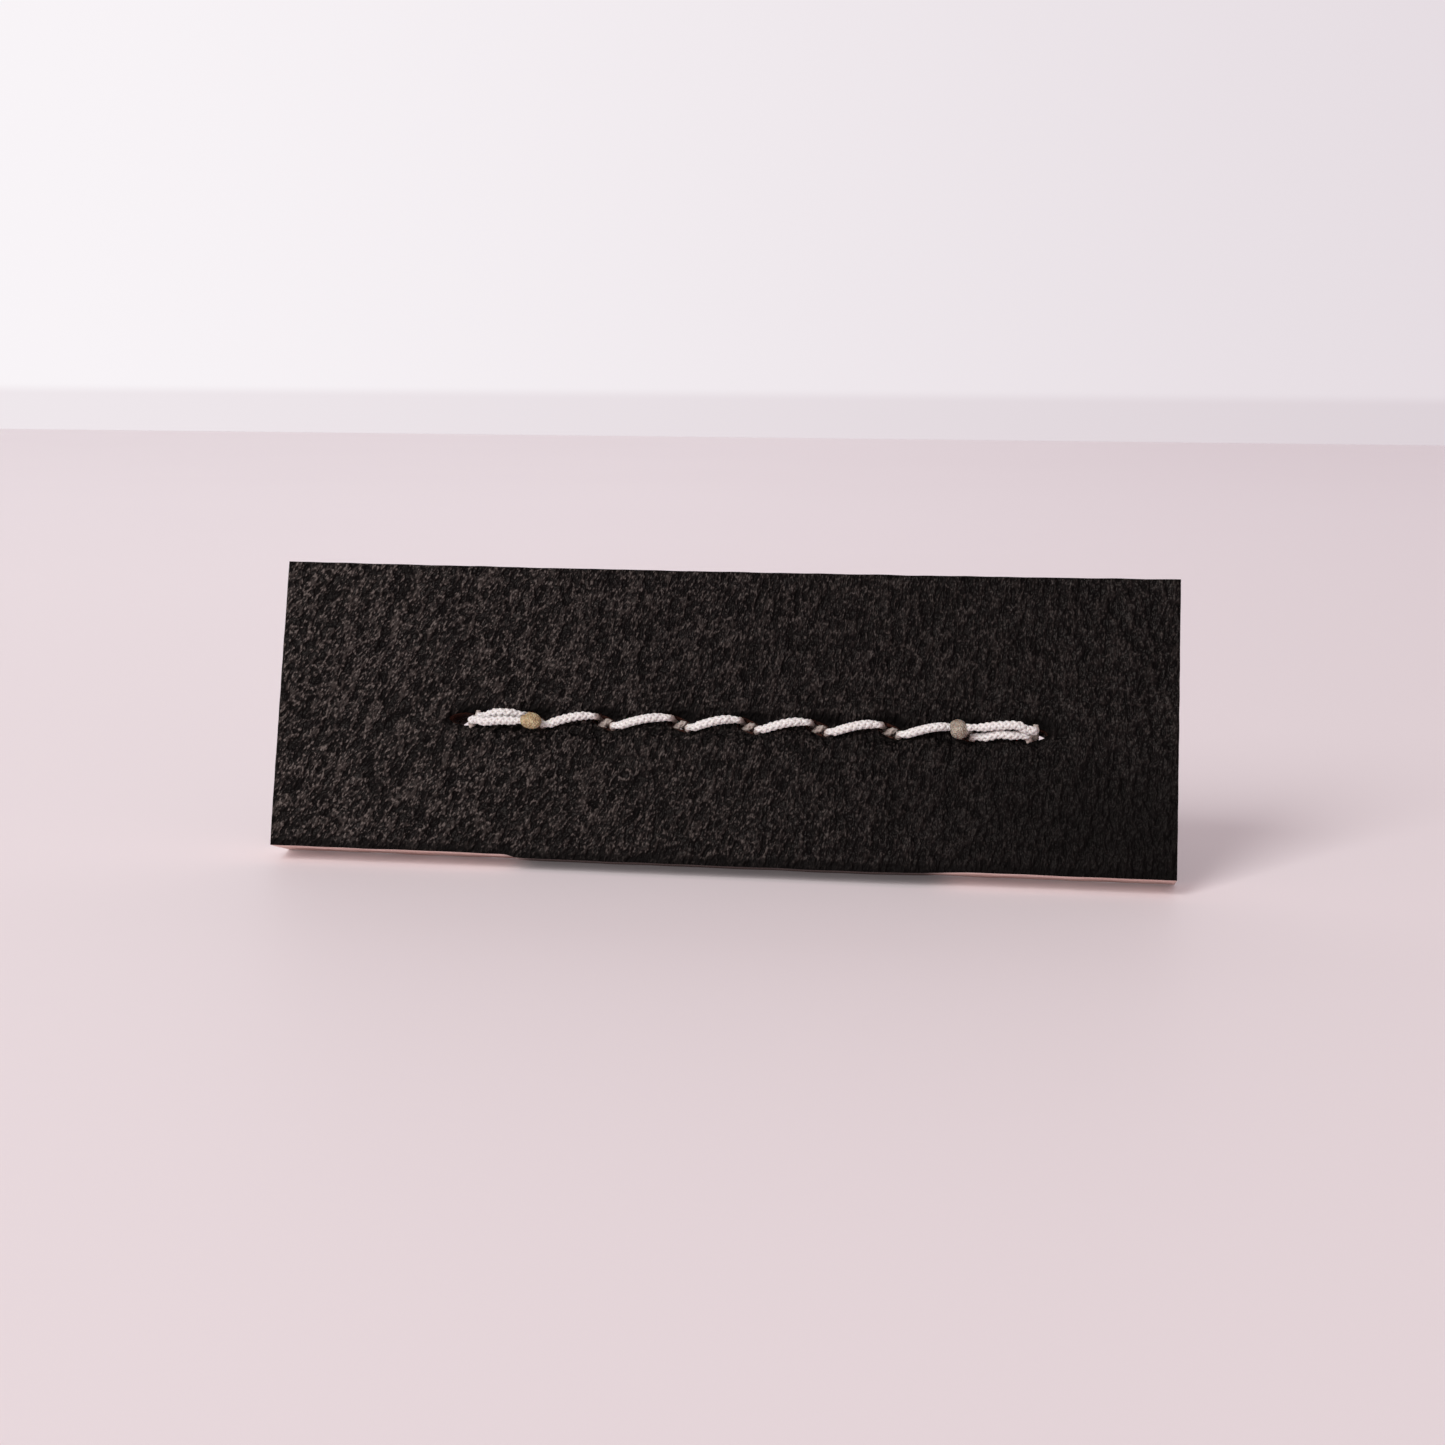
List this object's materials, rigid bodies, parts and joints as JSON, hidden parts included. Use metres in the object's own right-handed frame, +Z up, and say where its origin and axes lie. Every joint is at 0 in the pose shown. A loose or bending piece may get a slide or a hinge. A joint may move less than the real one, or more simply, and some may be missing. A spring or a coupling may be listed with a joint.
{
  "type": "stitched leather strip",
  "caption": "Small strip of two leather plies, grain sides out, joined by one lock-stitched row of braided thread with doubled ends and melted thread tails, leaning back.",
  "frame": {"origin": "centre of the bounding box at the floor", "axes": "+X along the stitch row, +Y from the front face towards the back, +Z up; the strip leans back about X on its lower back edge"},
  "size_m": [0.0628, 0.0102, 0.0206],
  "materials": {
    "black_leather": "fine pebbled grain, low sheen",
    "back_leather": "fine pebbled grain, low sheen",
    "thread": "round braided polyester",
    "tan_melt": "melted, granular",
    "grey_melt": "melted, granular"
  },
  "bodies": {
    "root": {"front_ply": "black_leather", "back_ply": "back_leather", "front_thread": "thread", "back_thread": "thread", "front_left_melted_end": "tan_melt", "front_right_melted_end": "grey_melt", "back_left_melted_end": "tan_melt", "back_right_melted_end": "grey_melt"}
  },
  "joints": []
}
